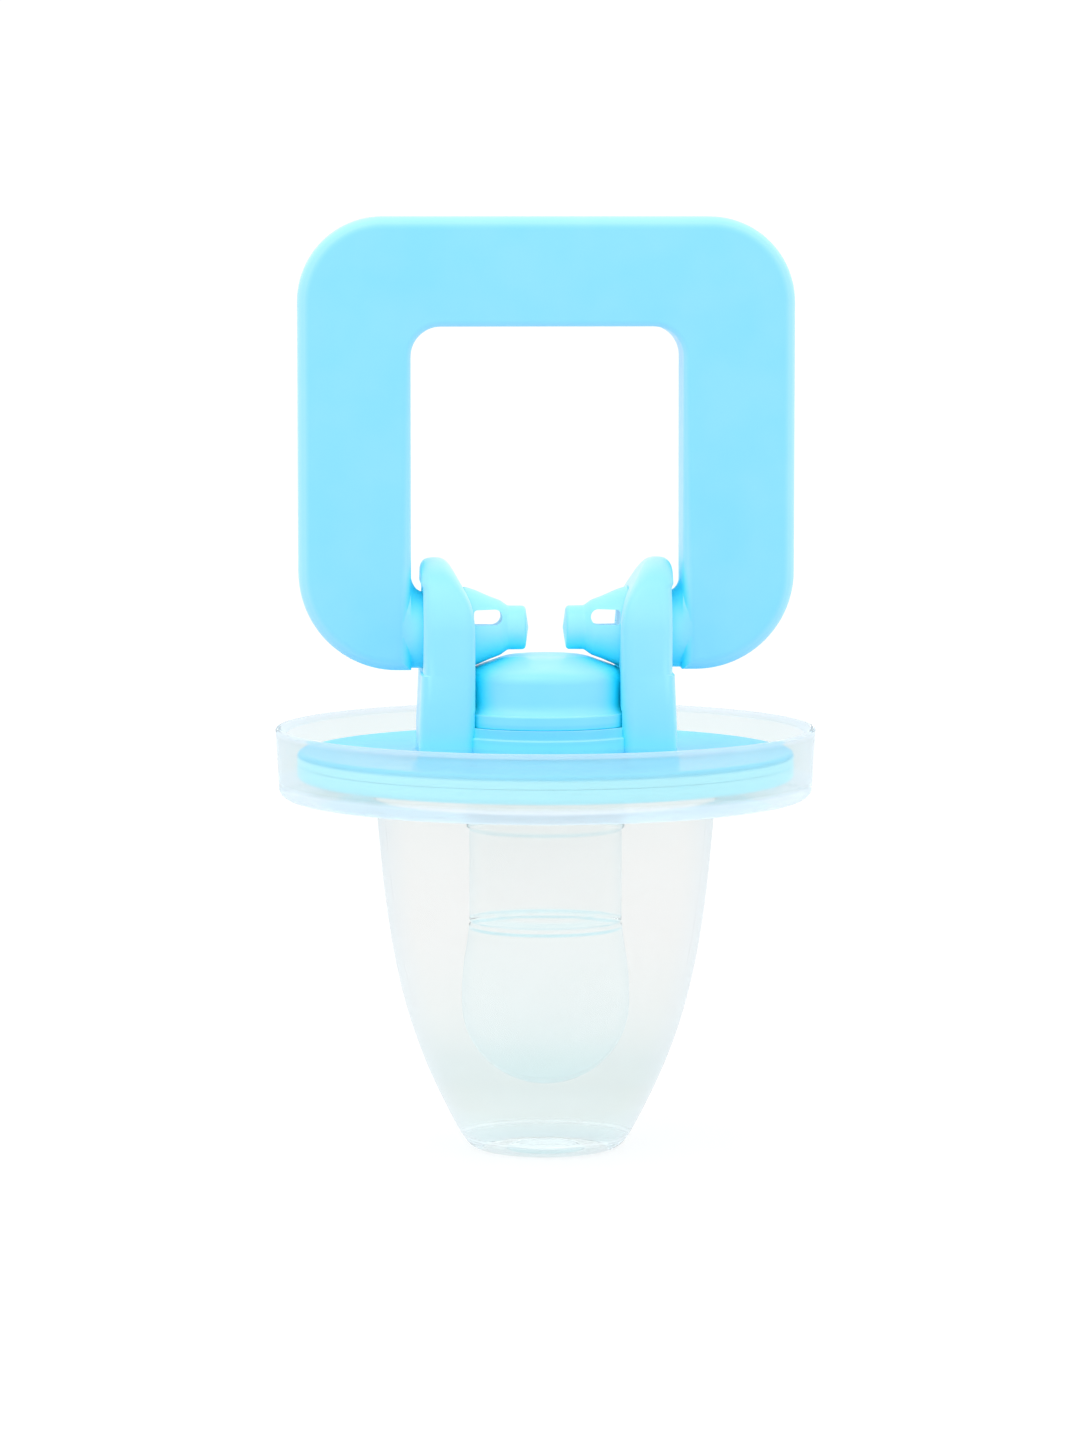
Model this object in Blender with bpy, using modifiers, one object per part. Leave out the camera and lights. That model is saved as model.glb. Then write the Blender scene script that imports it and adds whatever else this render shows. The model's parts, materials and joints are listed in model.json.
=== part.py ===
"""Baby pacifier with a square ring handle, standing in its clear travel cap.

Lengths below are in millimetres and become metres when a mesh is made. The frame stands on
the cap's foot: +Z is up, the ring handle faces -Y, and the handle's hinge axis runs along X.
"""
from math import cos, pi, radians, sin

import bmesh
import bpy
from mathutils import Vector

MM = 0.001
TURN_STEPS = 48
PIN_STEPS = 24
MERGE = 0.00001

# Clearance between neighbouring pieces.
GAP = 0.3

# Cap: foot, body, flange floor and rim.
CAP_FOOT_R = 5.6
CAP_BODY_LOW = (7.8, 1.5)
CAP_BODY_BEND = ((12.4, 10.0), (14.3, 15.8))
CAP_BODY_TOP = (15.43, 32.3)
CAP_WALL = 1.0
CAP_FLOOR_T = 1.6
CAP_FLANGE_Z = 32.3
CAP_FLANGE_T = 1.25
CAP_RIM_Z = 38.55
CAP_RIM_R = 24.5
CAP_RIM_LOW_R = 24.15
CAP_RIM_WALL = 1.0

# Mouth shield: two shells with the teat's flange between them.
SHIELD_R = 22.1
SHIELD_Z = CAP_FLANGE_Z + CAP_FLANGE_T + GAP
SHIELD_TOP_Z = 36.45
SEAM_Z = 35.05
SHIELD_EDGE = 0.45
CLAMP_R = 9.3
CLAMP_FLOOR_Z = 34.45
CLAMP_ROOF_Z = 35.65
SOCKET_TOP_Z = 38.95
SOCKET_R = 8.85
SOCKET_BORE_R = 8.0

# Teat and the sleeve in its neck.
TEAT_NECK_R = 6.8
TEAT_ROOT_R = 7.05
TEAT_ROOT_Z = 29.5
TEAT_BORE_R = 6.2
TEAT_STEP_Z = 20.7
BULB_R = 7.5
BULB_Z = 13.5
BULB_FROM_ANGLE = 25
BULB_HOLLOW_R = 6.1
BULB_HOLLOW_Z = 14.3
FLANGE_T = 0.6
SLEEVE_R = TEAT_BORE_R - GAP
SLEEVE_BORE_R = 5.1
SLEEVE_LIP_R = 4.5
SLEEVE_LIP_T = 0.7
SLEEVE_LOW_Z = 20.9
SLEEVE_FLANGE_T = 0.8

# Knob between the ears.
KNOB_TOP_Z = 45.1
KNOB_FLAT_R = 3.3
KNOB_R = 7.2
KNOB_COLLAR_R = 8.1
KNOB_COLLAR_Z = 39.97
KNOB_BORE_R = 6.2

# Ears and the hinge through them.
HINGE_Z = 47.6
EAR_IN = 6.55
EAR_OUT = 11.35
EAR_FOOT_OUT = 11.6
EAR_HALF_DEPTH = 5.8
EAR_TOP_Z = 54.0
EAR_POCKET_R = 6.7
EAR_POCKET_X = 11.0
PIN_R = 2.35
PIN_HEAD_R = 3.3
PIN_TIP_R = 2.0
PIN_TIP_X = 1.55

# Ring handle.
RING_HALF_W = 22.36
RING_LOW_Z = 43.94
RING_TOP_Z = 84.68
RING_LOW_CORNER = 8.85
RING_TOP_CORNER = 7.7
OPENING_HALF_W = 12.24
OPENING_TOP_Z = 74.84
OPENING_CORNER = 2.7
FOOT_END_X = 11.4
FOOT_TOP_Z = 50.95
RING_T = 6.6
RING_EDGE = 0.5

SLOT_FROM_X = 4.0
SLOT_TO_X = 6.6
SLOT_RISE = 0.8
SLOT_H = 1.5

BLUE = (0.30, 0.80, 0.98, 1.0)
CLEAR = (0.90, 0.95, 0.96, 0.35)


def clear_scene():
    """Remove every object that the file starts with."""
    for obj in list(bpy.data.objects):
        bpy.data.objects.remove(obj, do_unlink=True)


def new_collection(name):
    """Make a collection under the scene."""
    coll = bpy.data.collections.new(name)
    bpy.context.scene.collection.children.link(coll)
    return coll


def new_material(name, colour, roughness, transmission=0.0):
    """Make a Principled material."""
    mat = bpy.data.materials.new(name)
    mat.use_nodes = True
    mat.diffuse_color = colour
    shader = mat.node_tree.nodes["Principled BSDF"]
    shader.inputs["Base Color"].default_value = colour
    shader.inputs["Roughness"].default_value = roughness
    shader.inputs["Metallic"].default_value = 0.0
    shader.inputs["Transmission Weight"].default_value = transmission
    return mat


def arc(centre, radius, start, end, count):
    """Points on an arc, angles in degrees."""
    points = []
    for i in range(count + 1):
        angle = radians(start + (end - start) * i / count)
        points.append((centre[0] + radius * cos(angle), centre[1] + radius * sin(angle)))
    return points


def bezier(a, b, c, d, count):
    """Points on a cubic curve from a to d."""
    points = []
    for i in range(count + 1):
        t = i / count
        s = 1.0 - t
        weights = (s ** 3, 3 * s * s * t, 3 * s * t * t, t ** 3)
        points.append(tuple(sum(w * p[k] for w, p in zip(weights, (a, b, c, d))) for k in (0, 1)))
    return points


def add_object(name, mesh, coll, material=None):
    """Link a mesh as an object of a collection."""
    obj = bpy.data.objects.new(name, mesh)
    coll.objects.link(obj)
    if material:
        mesh.materials.append(material)
    return obj


def turned(name, profile, coll, material=None, steps=TURN_STEPS, closed=False):
    """Turn a profile of (radius, height) points about Z, down its outer side first."""
    mesh = bpy.data.meshes.new(name)
    verts = [(r * MM, 0.0, z * MM) for r, z in profile]
    edges = [(i, i + 1) for i in range(len(verts) - 1)]
    if closed:
        edges.append((len(verts) - 1, 0))
    mesh.from_pydata(verts, edges, [])
    obj = add_object(name, mesh, coll, material)
    screw = obj.modifiers.new("turn", "SCREW")
    screw.axis = "Z"
    screw.angle = 2 * pi
    screw.steps = steps
    screw.render_steps = steps
    screw.use_merge_vertices = True
    screw.merge_threshold = MERGE
    screw.use_smooth_shade = True
    return obj


def flat_outline(name, outline, half_depth, coll, material=None):
    """Make a closed plate from an outline in X and Z, centred on Y = 0."""
    curve = bpy.data.curves.new(name, "CURVE")
    curve.dimensions = "2D"
    curve.fill_mode = "BOTH"
    curve.extrude = half_depth * MM
    spline = curve.splines.new("POLY")
    spline.points.add(len(outline) - 1)
    for point, (x, z) in zip(spline.points, outline):
        point.co = (x * MM, z * MM, 0.0, 1.0)
    spline.use_cyclic_u = True
    source = bpy.data.objects.new(name + "_curve", curve)
    coll.objects.link(source)
    source.rotation_euler = (pi / 2, 0.0, 0.0)
    bpy.context.view_layer.update()
    evaluated = source.evaluated_get(bpy.context.evaluated_depsgraph_get())
    mesh = bpy.data.meshes.new_from_object(evaluated)
    mesh.name = name
    work = bmesh.new()
    work.from_mesh(mesh)
    bmesh.ops.remove_doubles(work, verts=work.verts, dist=MERGE)
    bmesh.ops.dissolve_limit(work, angle_limit=radians(0.5), verts=work.verts, edges=work.edges)
    work.to_mesh(mesh)
    work.free()
    mesh.materials.clear()
    obj = add_object(name, mesh, coll, material)
    obj.matrix_world = source.matrix_world.copy()
    bpy.data.objects.remove(source, do_unlink=True)
    return obj


def hide_tool(obj):
    """Mark an object as a cutter or guide."""
    obj.hide_render = True
    obj.display_type = "WIRE"
    return obj


def boolean(obj, tool, operation):
    """Combine an object with a tool by the exact solver."""
    modifier = obj.modifiers.new(operation.lower() + "_" + tool.name, "BOOLEAN")
    modifier.operation = operation
    modifier.solver = "EXACT"
    modifier.object = hide_tool(tool)


def bevel(obj, width, segments):
    """Round the sharp edges of an object."""
    modifier = obj.modifiers.new("round", "BEVEL")
    modifier.width = width * MM
    modifier.segments = segments
    modifier.limit_method = "ANGLE"
    modifier.angle_limit = radians(40)


def make_cap(coll, material):
    """Clear cap: foot, tapered body, flange and upstanding rim as one shell."""
    outer_body = bezier(CAP_BODY_TOP, CAP_BODY_BEND[1], CAP_BODY_BEND[0], CAP_BODY_LOW, 9)
    inner_body = [(r - CAP_WALL, z) for r, z in outer_body[1:-1]]
    foot_corner = bezier(CAP_BODY_LOW, (7.2, 0.6), (6.8, 0.0), (CAP_FOOT_R, 0.0), 3)
    floor_z = CAP_FLANGE_Z + CAP_FLANGE_T
    profile = [
        (CAP_RIM_R, CAP_RIM_Z),
        (CAP_RIM_LOW_R + 0.2, CAP_FLANGE_Z + 0.9),
        (CAP_RIM_LOW_R - 0.1, CAP_FLANGE_Z + 0.25),
        (CAP_RIM_LOW_R - 0.8, CAP_FLANGE_Z),
    ]
    profile += outer_body + foot_corner[1:]
    profile += [(0.0, 0.0), (0.0, CAP_FLOOR_T), (CAP_FOOT_R - 0.6, CAP_FLOOR_T)]
    profile += list(reversed(inner_body))
    profile += [
        (CAP_BODY_TOP[0] - CAP_WALL, floor_z),
        (CAP_RIM_LOW_R - CAP_RIM_WALL, floor_z),
        (CAP_RIM_R - CAP_RIM_WALL, CAP_RIM_Z),
    ]
    # The run starts on the inner floor, climbs the inside and comes down the outside.
    axis = profile.index((0.0, CAP_FLOOR_T))
    return turned("cap", profile[axis:] + profile[:axis], coll, material)


def make_guard_plate(coll, material):
    """Lower shell of the shield, with the recess for the teat's flange."""
    profile = [
        (SHIELD_R - 0.05, SEAM_Z),
        (SHIELD_R, SHIELD_Z + SHIELD_EDGE),
        (SHIELD_R - 0.13, SHIELD_Z + 0.13),
        (SHIELD_R - SHIELD_EDGE, SHIELD_Z),
        (TEAT_ROOT_R + GAP, SHIELD_Z),
        (TEAT_ROOT_R + GAP, CLAMP_FLOOR_Z),
        (CLAMP_R, CLAMP_FLOOR_Z),
        (CLAMP_R, SEAM_Z),
    ]
    return turned("guard_plate", profile, coll, material, closed=True)


def make_ear(name, side, coll):
    """One ear: an outline in X and Z, cut to a rounded outline in Y and Z."""
    foot_z = SHIELD_TOP_Z - 0.5
    crown = (9.7, EAR_TOP_Z)
    inner = bezier((EAR_IN, 48.6), (EAR_IN, 50.3), (8.3, 53.9), crown, 6)
    outer = bezier(crown, (10.9, EAR_TOP_Z), (EAR_OUT, 53.5), (EAR_OUT, 52.3), 4)
    outline = [(EAR_IN, foot_z)] + inner + outer[1:] + [(EAR_FOOT_OUT, foot_z)]
    outline = [(side * x, z) for x, z in outline]
    ear = flat_outline(name, outline, EAR_HALF_DEPTH, coll)
    bevel(ear, 0.6, 1)
    dome_height = EAR_TOP_Z - HINGE_Z + 0.05
    dome = [(EAR_HALF_DEPTH * 1.02 * cos(a), HINGE_Z + dome_height * sin(a))
            for a in (pi * i / 14 for i in range(15))]
    side_view = [(EAR_HALF_DEPTH + 0.3, foot_z - 0.3)] + dome + [(-EAR_HALF_DEPTH - 0.3, foot_z - 0.3)]
    cutter = flat_outline(name + "_side_view", side_view, 4.0, coll)
    cutter.rotation_euler = (pi / 2, 0.0, pi / 2)
    cutter.location = (side * 9.0 * MM, 0.0, 0.0)
    boolean(ear, cutter, "INTERSECT")
    return ear


def make_guard_top(coll, tools, material):
    """Upper shell of the shield: disc, socket ring and two ears."""
    profile = [
        (0.0, SOCKET_TOP_Z),
        (SOCKET_R - 0.2, SOCKET_TOP_Z),
        (SOCKET_R, SOCKET_TOP_Z - 0.2),
        (SOCKET_R, SHIELD_TOP_Z + 0.25),
        (SOCKET_R + 0.25, SHIELD_TOP_Z),
        (SHIELD_R - SHIELD_EDGE, SHIELD_TOP_Z),
        (SHIELD_R - 0.13, SHIELD_TOP_Z - 0.13),
        (SHIELD_R, SHIELD_TOP_Z - SHIELD_EDGE),
        (SHIELD_R - 0.05, SEAM_Z + GAP),
        (CLAMP_R, SEAM_Z + GAP),
        (CLAMP_R, CLAMP_ROOF_Z),
        (0.0, CLAMP_ROOF_Z),
    ]
    guard = turned("guard_top", profile, coll, material)
    for name, side in (("ear_left", -1), ("ear_right", 1)):
        boolean(guard, make_ear(name, side, tools), "UNION")
    relief = turned("socket_cutter", [
        (0.0, 44.5),
        (6.4, 44.5),
        (KNOB_R + GAP, 43.75),
        (KNOB_R + GAP, KNOB_COLLAR_Z + GAP + 0.4),
        (KNOB_COLLAR_R + GAP, KNOB_COLLAR_Z + GAP),
        (KNOB_COLLAR_R + GAP, SOCKET_TOP_Z - 0.1),
        (SOCKET_BORE_R, SOCKET_TOP_Z - 0.1),
        (SOCKET_BORE_R, SHIELD_TOP_Z),
        (SLEEVE_R + GAP, SHIELD_TOP_Z),
        (SLEEVE_R + GAP, CLAMP_ROOF_Z - 1.0),
        (0.0, CLAMP_ROOF_Z - 1.0),
    ], tools)
    boolean(guard, relief, "DIFFERENCE")
    bore_r = PIN_R + GAP
    bore = turned("hinge_bore", [(0.0, 15.0), (bore_r, 15.0), (bore_r, -15.0), (0.0, -15.0)],
                  tools, steps=PIN_STEPS)
    bore.rotation_euler = (0.0, pi / 2, 0.0)
    bore.location = (0.0, 0.0, HINGE_Z * MM)
    boolean(guard, bore, "DIFFERENCE")
    for name, side in (("pocket_left", -1), ("pocket_right", 1)):
        pocket = turned(name, [
            (0.0, 14.0),
            (EAR_POCKET_R, 14.0),
            (EAR_POCKET_R, EAR_POCKET_X),
            (0.0, EAR_POCKET_X),
        ], tools, steps=PIN_STEPS)
        pocket.rotation_euler = (0.0, side * pi / 2, 0.0)
        pocket.location = (0.0, 0.0, HINGE_Z * MM)
        boolean(guard, pocket, "DIFFERENCE")
    return guard


def make_teat(coll, material):
    """Soft teat: flange, root, neck with a step, round bulb with a thick end."""
    flange_z = CLAMP_FLOOR_Z + GAP
    profile = [(0.0, BULB_HOLLOW_Z - BULB_HOLLOW_R)]
    profile += arc((0.0, BULB_HOLLOW_Z), BULB_HOLLOW_R, -75, 0, 5)
    profile += [
        (TEAT_BORE_R, TEAT_STEP_Z),
        (TEAT_BORE_R, flange_z + FLANGE_T),
        (CLAMP_R - GAP, flange_z + FLANGE_T),
        (CLAMP_R - GAP, flange_z),
        (TEAT_ROOT_R, flange_z),
        (TEAT_ROOT_R, TEAT_ROOT_Z),
        (TEAT_NECK_R, TEAT_ROOT_Z - 0.2),
        (TEAT_NECK_R, TEAT_STEP_Z),
    ]
    profile += arc((0.0, BULB_Z), BULB_R, BULB_FROM_ANGLE, -80, 8)
    profile.append((0.0, BULB_Z - BULB_R))
    return turned("teat", profile, coll, material)


def make_neck_sleeve(coll, material):
    """Stiff clear sleeve that keeps the neck open and clamps it under the knob."""
    flange_z = SHIELD_TOP_Z + GAP
    profile = [
        (SOCKET_BORE_R - GAP, flange_z + SLEEVE_FLANGE_T),
        (SOCKET_BORE_R - GAP, flange_z),
        (SLEEVE_R, flange_z),
        (SLEEVE_R, SLEEVE_LOW_Z),
        (SLEEVE_LIP_R, SLEEVE_LOW_Z),
        (SLEEVE_LIP_R, SLEEVE_LOW_Z + SLEEVE_LIP_T),
        (SLEEVE_BORE_R, SLEEVE_LOW_Z + SLEEVE_LIP_T),
        (SLEEVE_BORE_R, flange_z + SLEEVE_FLANGE_T),
    ]
    return turned("neck_sleeve", profile, coll, material, closed=True)


def make_knob(coll, material):
    """Push-in knob: flat top, rounded shoulder, flared foot and a hollow spigot."""
    spigot_z = SHIELD_TOP_Z + GAP + SLEEVE_FLANGE_T + GAP
    collar_low = SOCKET_TOP_Z + GAP
    profile = [(0.0, KNOB_TOP_Z)]
    profile += bezier((KNOB_FLAT_R, KNOB_TOP_Z), (4.6, 44.75), (6.6, 44.1), (KNOB_R, 43.2), 4)
    profile += bezier((KNOB_R, 40.9), (KNOB_R, 40.4), (7.5, 40.1), (KNOB_COLLAR_R, KNOB_COLLAR_Z), 3)
    profile += [
        (KNOB_COLLAR_R, collar_low),
        (SOCKET_BORE_R - GAP, collar_low),
        (SOCKET_BORE_R - GAP, spigot_z),
        (KNOB_BORE_R, spigot_z),
        (KNOB_BORE_R, 42.3),
        (3.0, 43.6),
        (0.0, 43.6),
    ]
    return turned("knob", profile, coll, material)


def ring_outline():
    """Outline of the square ring, open at the bottom between its two feet."""
    low = RING_LOW_CORNER
    top = RING_TOP_CORNER
    hole = OPENING_CORNER
    right = [(FOOT_END_X, RING_LOW_Z)]
    right += arc((RING_HALF_W - low, RING_LOW_Z + low), low, -90, 0, 7)
    right += arc((RING_HALF_W - top, RING_TOP_Z - top), top, 0, 90, 7)
    inside = arc((OPENING_HALF_W - hole, OPENING_TOP_Z - hole), hole, 90, 0, 5)
    inside += bezier((OPENING_HALF_W, 52.4), (OPENING_HALF_W, 51.7), (12.0, 51.2),
                     (FOOT_END_X, FOOT_TOP_Z), 3)
    left = [(-x, z) for x, z in reversed(right)]
    left_inside = [(-x, z) for x, z in reversed(inside)]
    return right + left + left_inside + inside


def make_ring_handle(coll, tools, material):
    """Ring handle with a slotted snap pin on each foot."""
    ring = flat_outline("ring_handle", ring_outline(), RING_T / 2, coll, material)
    bevel(ring, RING_EDGE, 2)
    head = bezier((PIN_HEAD_R, EAR_IN - GAP), (2.95, 5.3), (2.7, 4.5), (2.4, 4.0), 3)
    pin_profile = [(0.0, 12.6), (PIN_R, 12.6), (PIN_R, EAR_IN - GAP)]
    pin_profile += head
    pin_profile += [
        (PIN_TIP_R, 3.4),
        (PIN_TIP_R, PIN_TIP_X + 0.4),
        (PIN_TIP_R - 0.3, PIN_TIP_X + 0.1),
        (0.0, PIN_TIP_X),
    ]
    slot_r = SLOT_H / 2
    slot = arc((SLOT_FROM_X + slot_r, SLOT_RISE), slot_r, 90, 270, 5)
    slot += [(SLOT_TO_X, SLOT_RISE - slot_r), (SLOT_TO_X, SLOT_RISE + slot_r)]
    for name, side in (("left", -1), ("right", 1)):
        pin = turned("pin_" + name, pin_profile, tools, steps=PIN_STEPS)
        pin.rotation_euler = (0.0, side * pi / 2, 0.0)
        pin.location = (0.0, 0.0, HINGE_Z * MM)
        boolean(ring, pin, "UNION")
        cutter = flat_outline("slot_" + name, [(side * x, z) for x, z in slot], 5.0, tools)
        cutter.location = (0.0, 0.0, HINGE_Z * MM)
        boolean(ring, cutter, "DIFFERENCE")
    return ring


def move_origin(obj, point):
    """Set an object's origin without moving its shape."""
    obj.data.transform(obj.matrix_world)
    obj.matrix_world.identity()
    shift = Vector(point) * MM
    for vert in obj.data.vertices:
        vert.co -= shift
    obj.location = shift


def main():
    clear_scene()
    parts = new_collection("baby_pacifier")
    tools = new_collection("cutters")
    blue = new_material("blue_plastic", BLUE, 0.35)
    clear_plastic = new_material("clear_plastic", CLEAR, 0.08, 0.8)
    silicone = new_material("silicone", CLEAR, 0.2, 0.7)
    soother = bpy.data.objects.new("soother", None)
    parts.objects.link(soother)
    make_cap(parts, clear_plastic)
    ring = make_ring_handle(parts, tools, blue)
    move_origin(ring, (0.0, 0.0, HINGE_Z))
    held = [
        make_guard_plate(parts, blue),
        make_guard_top(parts, tools, blue),
        make_teat(parts, silicone),
        make_neck_sleeve(parts, clear_plastic),
        make_knob(parts, blue),
        ring,
    ]
    for obj in held:
        obj.parent = soother


main()
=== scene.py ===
import json
from math import atan2, cos, pi, radians, sin, sqrt, tan

import bmesh
import bpy
from mathutils import Matrix, Vector


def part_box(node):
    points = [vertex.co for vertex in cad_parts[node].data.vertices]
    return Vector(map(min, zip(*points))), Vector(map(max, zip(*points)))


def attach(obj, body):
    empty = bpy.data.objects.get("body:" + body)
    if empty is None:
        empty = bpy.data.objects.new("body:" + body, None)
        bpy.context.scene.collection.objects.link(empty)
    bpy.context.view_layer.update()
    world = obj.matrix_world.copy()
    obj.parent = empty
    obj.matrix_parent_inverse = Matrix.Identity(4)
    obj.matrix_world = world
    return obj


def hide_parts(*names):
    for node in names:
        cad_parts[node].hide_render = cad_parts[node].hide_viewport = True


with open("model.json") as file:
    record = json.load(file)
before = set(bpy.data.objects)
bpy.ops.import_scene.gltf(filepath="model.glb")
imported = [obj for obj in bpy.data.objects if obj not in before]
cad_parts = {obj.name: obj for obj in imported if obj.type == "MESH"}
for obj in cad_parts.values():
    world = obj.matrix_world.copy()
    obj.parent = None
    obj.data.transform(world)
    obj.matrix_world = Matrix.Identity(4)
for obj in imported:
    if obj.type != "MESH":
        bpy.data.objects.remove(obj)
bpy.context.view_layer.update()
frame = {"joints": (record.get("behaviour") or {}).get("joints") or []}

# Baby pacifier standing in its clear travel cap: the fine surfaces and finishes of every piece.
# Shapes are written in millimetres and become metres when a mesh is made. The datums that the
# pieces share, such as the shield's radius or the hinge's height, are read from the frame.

MM = 0.001
TURN_SEGMENTS = 192
CUTTER_SEGMENTS = 96
PIN_SEGMENTS = 64
HOLD = 0.15
SHARP_ANGLE = 38.0


def box_mm(node):
    """Lowest and highest corner of a CAD node, in millimetres."""
    low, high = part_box(node)
    return Vector(low) / MM, Vector(high) / MM


CAP_HIGH = box_mm("cap")[1]
PLATE_LOW, PLATE_HIGH = box_mm("guard_plate")
GUARD_LOW, GUARD_HIGH = box_mm("guard_top")
KNOB_LOW, KNOB_HIGH = box_mm("knob")
TEAT_LOW, TEAT_HIGH = box_mm("teat")
SLEEVE_LOW, SLEEVE_HIGH = box_mm("neck_sleeve")
RING_LOW, RING_HIGH = box_mm("ring_handle")
HINGE = next(j for j in frame["joints"] if j["name"] == "handle_swing")
HINGE_Z = HINGE["pos_m"][2] / MM

# Cap.
RIM_Z = CAP_HIGH.z
RIM_R = CAP_HIGH.x
RIM_LOW_R = RIM_R - 0.35
RIM_WALL = 1.0
RIM_BAND = 0.6
CAP_WALL = 1.0
FLANGE_Z = PLATE_LOW.z - 1.55
FLANGE_T = 1.25
BODY_TOP = (15.43, FLANGE_Z)
BODY_BEND = ((14.3, 15.8), (12.4, 10.0))
BODY_LOW = (7.8, 1.5)
FOOT_R = 5.6
FOOT_BEND = ((7.2, 0.6), (6.8, 0.0))
FOOT_RECESS_R = 3.1
FOOT_RECESS_H = 0.3
FLOOR_T = 1.25
FLOOR_R = 4.0
FLOOR_BEND = ((5.8, FLOOR_T), (6.8, 2.1))

# Shield.
SHIELD_R = PLATE_HIGH.x
SHIELD_LOW_Z = PLATE_LOW.z
SHIELD_TOP_Z = SLEEVE_HIGH.z - 1.1
SEAM_LOW_Z = PLATE_HIGH.z
SEAM_HIGH_Z = GUARD_LOW.z
SHIELD_EDGE = 0.5
SOCKET_TOP_Z = 38.95
SOCKET_R = 8.7
SOCKET_BORE_R = 8.0
CLAMP_R = 9.3
CLAMP_FLOOR_Z = SHIELD_LOW_Z + 0.6
CLAMP_ROOF_Z = SEAM_HIGH_Z + 0.3
SEAM_Z = (SEAM_LOW_Z + SEAM_HIGH_Z) / 2
SEAM_GAP = 0.02
SHIELD_DISH = 0.4
SOCKET_STEP_R = SOCKET_R - 0.2
KNOB_PLAY = 0.25

# Ears.
EAR_IN = 6.55
EAR_OUT = 11.36
EAR_GROOVE_OUT = 11.18
EAR_FOOT_OUT = 11.6
EAR_TOP_Z = GUARD_HIGH.z
EAR_HALF_DEPTH = 5.8
EAR_CORNER = 1.1
EAR_FOOT_FLARE = 0.4
POCKET_R = 3.8
POCKET_X = 11.0

# Teat and sleeve.
NECK_R = 6.8
ROOT_R = 7.05
ROOT_Z = 29.5
NECK_BORE_R = 6.2
STEP_Z = 20.7
BULB_R = 7.5
BULB_Z = TEAT_LOW.z + BULB_R
HOLLOW_R = 6.1
HOLLOW_Z = BULB_Z + 0.8
SLEEVE_R = NECK_BORE_R - 0.3
SLEEVE_BORE_R = 5.1
LIP_R = 4.5
LIP_T = 0.7
STEP_R = NECK_R + 0.1

# Knob.
KNOB_R = 7.2
KNOB_FLAT_R = 3.3
KNOB_SHOULDER = (4.6, 44.72)
RELIEF_TOP_Z = 44.6
KNOB_HOLLOW_R = 6.2
KNOB_HOLLOW_TOP_Z = 43.6
COLLAR_R = KNOB_HIGH.x
COLLAR_Z = 40.15

# Ring handle and its pins.
RING_HALF_W = RING_HIGH.x
RING_LOW_Z = RING_LOW.z
RING_TOP_Z = RING_HIGH.z
RING_HALF_T = RING_HIGH.y
LOW_CORNER = 8.85
TOP_CORNER = 7.7
OPENING_HALF_W = 12.24
OPENING_TOP_Z = 74.84
OPENING_CORNER = 2.7
OUTER_EDGE = 1.2
INNER_EDGE = 0.6
SHOULDER_R = 3.25
SHOULDER_LOW_R = HINGE_Z - RING_LOW_Z - 0.02
SHOULDER_END_X = 11.1
SHOULDER_CROWNS = (
    (SHOULDER_END_X, 3.2),
    (11.2, 3.28),
    (11.45, 3.38),
    (11.7, 3.55),
    (11.9, 3.8),
    (12.05, 4.1),
    (12.18, 4.5),
    (12.26, 5.1),
    (13.2, 5.1),
)
PIN_R = 2.35
PIN_ROOT_X = 12.8
PIN_HEAD_R = 3.75
PIN_HEAD_X = 7.5
PIN_TIP_R = 1.98
PIN_TIP_X = 1.55
RECESS_R = PIN_HEAD_R + 0.03
RECESS_X = PIN_HEAD_X + 0.03
SLOT_RISE = 1.15
SLOT_H = 1.25
SLOT_FROM_X = 4.0
SLOT_TO_X = 6.6
SLOT_DRAFT = 0.55


# ---------------------------------------------------------------- outlines

def arc(centre, radius, start, end, count):
    """Points on an arc, angles in degrees."""
    step = radians(end - start) / count
    return [(centre[0] + radius * cos(radians(start) + step * i),
             centre[1] + radius * sin(radians(start) + step * i)) for i in range(count + 1)]


def bezier(a, b, c, d, count):
    """Points on a cubic curve from a to d."""
    points = []
    for i in range(count + 1):
        t = i / count
        s = 1.0 - t
        weights = (s ** 3, 3 * s * s * t, 3 * s * t * t, t ** 3)
        points.append(tuple(sum(w * p[k] for w, p in zip(weights, (a, b, c, d))) for k in (0, 1)))
    return points


def soften(corners, closed=False, turn_step=12.0):
    """Round the corners of a path of (x, y) or (x, y, radius) points.

    A point on each side of a rounded corner keeps the shading of the straight stretch flat.
    """
    points = []
    count = len(corners)
    for i, corner in enumerate(corners):
        here = Vector(corner[:2])
        radius = corner[2] if len(corner) > 2 else 0.0
        at_end = not closed and i in (0, count - 1)
        if radius == 0.0 or at_end:
            points.append(tuple(here))
            continue
        back = Vector(corners[i - 1][:2]) - here
        ahead = Vector(corners[(i + 1) % count][:2]) - here
        between = back.angle(ahead)
        reach = min(radius / tan(between / 2), 0.48 * back.length, 0.48 * ahead.length)
        radius = reach * tan(between / 2)
        hold_back = min(HOLD, 0.3 * (0.5 * back.length - reach))
        hold_ahead = min(HOLD, 0.3 * (0.5 * ahead.length - reach))
        points.append(tuple(here + back.normalized() * (reach + hold_back)))
        centre = here + (back.normalized() + ahead.normalized()).normalized() * radius / sin(between / 2)
        start = here + back.normalized() * reach - centre
        end = here + ahead.normalized() * reach - centre
        sweep = atan2(start.x * end.y - start.y * end.x, start.dot(end))
        steps = max(2, round(abs(sweep) / radians(turn_step)))
        angle = atan2(start.y, start.x)
        for k in range(steps + 1):
            a = angle + sweep * k / steps
            points.append((centre.x + radius * cos(a), centre.y + radius * sin(a)))
        points.append(tuple(here + ahead.normalized() * (reach + hold_ahead)))
    return points


# ---------------------------------------------------------------- meshes

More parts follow.
